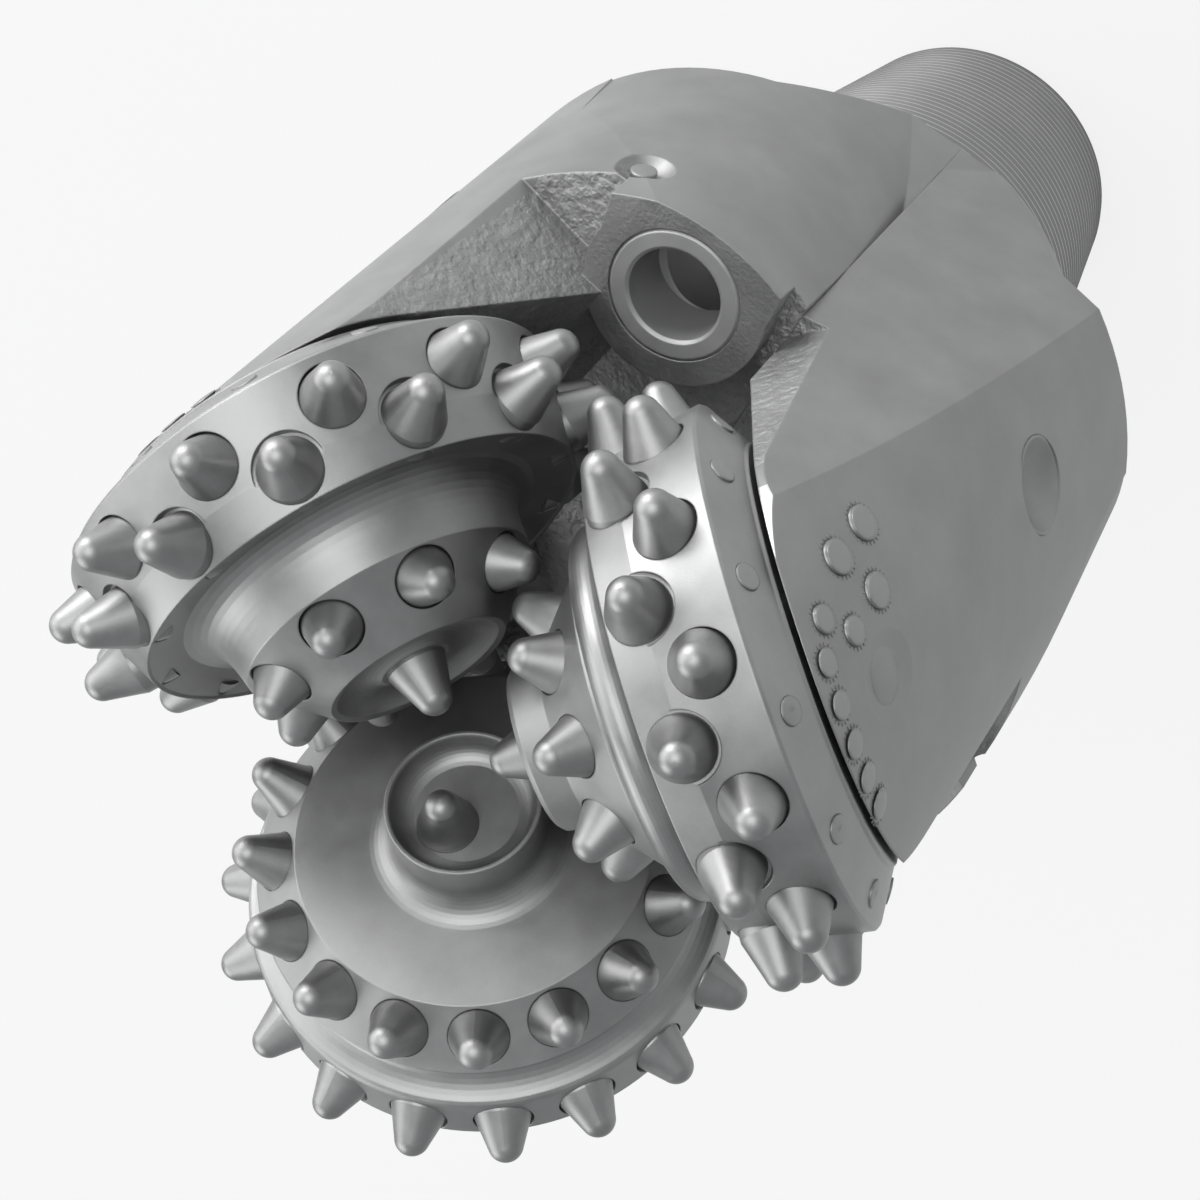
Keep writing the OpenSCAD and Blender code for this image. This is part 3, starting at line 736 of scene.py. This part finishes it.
@dataclass(frozen=True)
class NailHead:
    """Flat head of the nail that locks the nozzle beside one leg, standing in its dimple.

    low_mm and high_mm are distances from the bit's axis, and drop_mm is below the crossing of the journals.
    Edges that bend by more than rim_angle, in radians, are beveled.
    """

    leg: LegFrame
    radius_mm: float = 3.3
    low_mm: float = 93.0
    high_mm: float = 96.3
    side_mm: float = 18.4
    drop_mm: float = 113.7
    edge_mm: float = 0.3
    rim_angle: float = 1.0

    def build(self, material: bpy.types.Material) -> None:
        """Makes the head.

        Args:
            material: Finish of the nail.
        """
        bm = bmesh.new()
        turn = Matrix.Rotation(math.radians(self.leg.azimuth - NOZZLE_STEP_DEG), 4, "Z")
        middle = ((self.low_mm + self.high_mm) / 2, self.side_mm, self.leg.cross_mm - self.drop_mm)
        place = turn @ Matrix.Translation(middle) @ Matrix.Rotation(math.pi / 2, 4, "Y")
        bmesh.ops.create_cone(bm, cap_ends=True, segments=48, radius1=self.radius_mm,
                              radius2=self.radius_mm, depth=self.high_mm - self.low_mm, matrix=place)
        rim = [edge for edge in bm.edges
               if len(edge.link_faces) == 2 and edge.calc_face_angle() > self.rim_angle]
        bmesh.ops.bevel(bm, geom=rim, offset=self.edge_mm, offset_type="OFFSET", segments=3, profile=0.5,
                        affect="EDGES", material=-1)
        make_piece(f"nozzle_nail_head_{self.leg.letter}", bm, Body.BIT, material)


@dataclass(frozen=True)
class LegZones:
    """Limits that tell the finishes of one leg apart.

    Points are in mm with X outward along the leg and Z from the end of the pin. The other numbers compare a
    face's normal with a direction: 1 is along it, 0 across and -1 against it.
    """

    nozzle_circle_mm: float = 76.4
    fork_mm: tuple[float, float, float] = (12.0, 0.0, 177.3)
    chamber_mm: tuple[float, float, float] = (76.4, 0.0, 223.3)
    water_way_mm: float = 14.9
    pocket_mm: float = 15.5
    pocket_low_mm: float = 195.0
    pocket_high_mm: float = 240.0
    pocket_inward: float = 0.1
    level: float = 0.9
    highlight_facet_normal: tuple[float, float, float] = (0.23, 0.88, 0.42)
    highlight_facet_near: float = 0.98
    turned_below_mm: float = 226.0
    turned_back_mm: float = 98.5
    boss_low_mm: float = 252.0
    boss_high_mm: float = 255.0
    side_near: float = 0.98
    side_rise: float = 0.12
    throat_outward: float = -0.6
    throat_high_mm: float = 300.0
    ledge_level: float = 0.85
    ledge_high_mm: float = 246.0

    @property
    def nozzle(self) -> Vector:
        """A point of the axis of the nozzle beside the leg."""
        turn = Matrix.Rotation(math.radians(-NOZZLE_STEP_DEG), 4, "Z")
        return turn @ Vector((self.nozzle_circle_mm, 0, 0))

    def in_water_way(self, at: Vector) -> bool:
        """Tells whether a point lies in a water way beside the leg.

        Args:
            at: The point.

        Returns:
            True if it does.
        """
        for azimuth in (-NOZZLE_STEP_DEG, NOZZLE_STEP_DEG):
            turn = Matrix.Rotation(math.radians(azimuth), 4, "Z")
            start, end = turn @ Vector(self.fork_mm), turn @ Vector(self.chamber_mm)
            share = max(0.0, min(1.0, (at - start).dot(end - start) / (end - start).length_squared))
            if (at - start.lerp(end, share)).length < self.water_way_mm:
                return True
        return False

    def in_nozzle_pocket(self, at: Vector, normal: Vector, nozzle: Vector) -> bool:
        """Tells whether a face is part of the bore under the nozzle.

        Args:
            at: Middle of the face.
            normal: Its normal.
            nozzle: A point of the nozzle axis.

        Returns:
            True if it is.
        """
        inward = (nozzle - at).to_2d()
        faces_axis = inward.dot(normal.to_2d()) > self.pocket_inward * inward.length
        near = inward.length < self.pocket_mm and self.pocket_low_mm < at.z < self.pocket_high_mm
        return near and (faces_axis or normal.z > self.level)

    def is_cast(self, at: Vector, normal: Vector) -> bool:
        """Tells whether a face above the turned part is left as cast.

        Args:
            at: Middle of the face.
            normal: Its normal.

        Returns:
            True for the sides, the throat and the ledges between the legs.
        """
        side = abs(normal.y) > self.side_near and abs(normal.z) < self.side_rise
        throat = normal.x < self.throat_outward and at.z < self.throat_high_mm
        ledge = normal.z > self.ledge_level and at.z < self.ledge_high_mm
        return side or throat or ledge

    def zone_of(self, at: Vector, normal: Vector, nozzle: Vector) -> Zone:
        """Finish zone of one face of a leg.

        Args:
            at: Middle of the face.
            normal: Its normal.
            nozzle: A point of the nozzle axis.

        Returns:
            The zone.
        """
        # The bore and the water ways take the pale non-metal: painted light inside them.
        if self.in_nozzle_pocket(at, normal, nozzle) or self.in_water_way(at):
            return Zone.BORED
        # Faces turned like the facet take the near-white finish, a painted highlight of the upper-left light.
        if normal.dot(Vector(self.highlight_facet_normal)) > self.highlight_facet_near:
            return Zone.MILLED
        if at.z < self.turned_below_mm or at.to_2d().length > self.turned_back_mm:
            return Zone.MACHINED
        if normal.z > self.level and self.boss_low_mm < at.z < self.boss_high_mm:
            return Zone.PITTED
        return Zone.CAST if self.is_cast(at, normal) else Zone.MACHINED


@dataclass
class Dresser:
    """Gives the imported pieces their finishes."""

    zones: LegZones = LegZones()
    made: dict[str, bpy.types.Material] = field(default_factory=dict)

    def material(self, finish: Finish) -> bpy.types.Material:
        """Material of a finish, made once.

        Args:
            finish: The finish.

        Returns:
            The material.
        """
        if finish.name not in self.made:
            self.made[finish.name] = finish.build()
        return self.made[finish.name]

    def finish_of(self, node: str) -> Finish:
        """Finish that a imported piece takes.

        Args:
            node: Name of the piece.

        Returns:
            The finish.
        """
        fitting = (finish for start, finish in FINISH_BY_START.items() if node.startswith(start))
        return next(fitting, CARBIDE)

    def dress(self, nodes: dict[str, bpy.types.Object]) -> None:
        """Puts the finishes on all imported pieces.

        Args:
            nodes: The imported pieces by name.
        """
        for name, piece in nodes.items():
            finish = self.finish_of(name)
            piece.data.materials.clear()
            piece.data.materials.append(self.material(finish))
            log.info("dressed %s with %s", name, finish.name)
        for leg in LEGS:
            self.zone_leg(leg, nodes[f"leg_{leg.letter}"])

    def zone_leg(self, leg: LegFrame, piece: bpy.types.Object) -> None:
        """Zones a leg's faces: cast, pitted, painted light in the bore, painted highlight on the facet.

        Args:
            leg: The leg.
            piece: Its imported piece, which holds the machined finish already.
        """
        for zone in list(Zone)[1:]:
            piece.data.materials.append(self.material(ZONE_FINISH[zone]))
        unspin = leg.spin.inverted()
        nozzle = self.zones.nozzle
        count = {zone: 0 for zone in Zone}
        for polygon in piece.data.polygons:
            at = unspin @ (polygon.center / MM)
            zone = self.zones.zone_of(at, unspin.to_3x3() @ polygon.normal, nozzle)
            polygon.material_index = zone.value
            count[zone] += 1
        log.info("zoned leg %s: %s", leg.letter, {zone.name: number for zone, number in count.items()})


def main() -> None:
    """Builds the studio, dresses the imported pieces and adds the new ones."""
    logging.basicConfig(level=logging.INFO, format="%(name)s: %(message)s")
    Studio().build()
    dresser = Dresser()
    dresser.dress(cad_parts)
    ground, flush = dresser.material(GROUND), dresser.material(FLUSH)
    PinThread().build(dresser.material(THREAD), dresser.material(CREST_HIGHLIGHT))
    for leg in LEGS:
        back = LegBack(leg)
        ButtonMarks(back).build(ground, flush)
        PlugWeld(back).build(ground)
        NailHead(leg).build(ground)


if __name__ == "__main__":
    main()
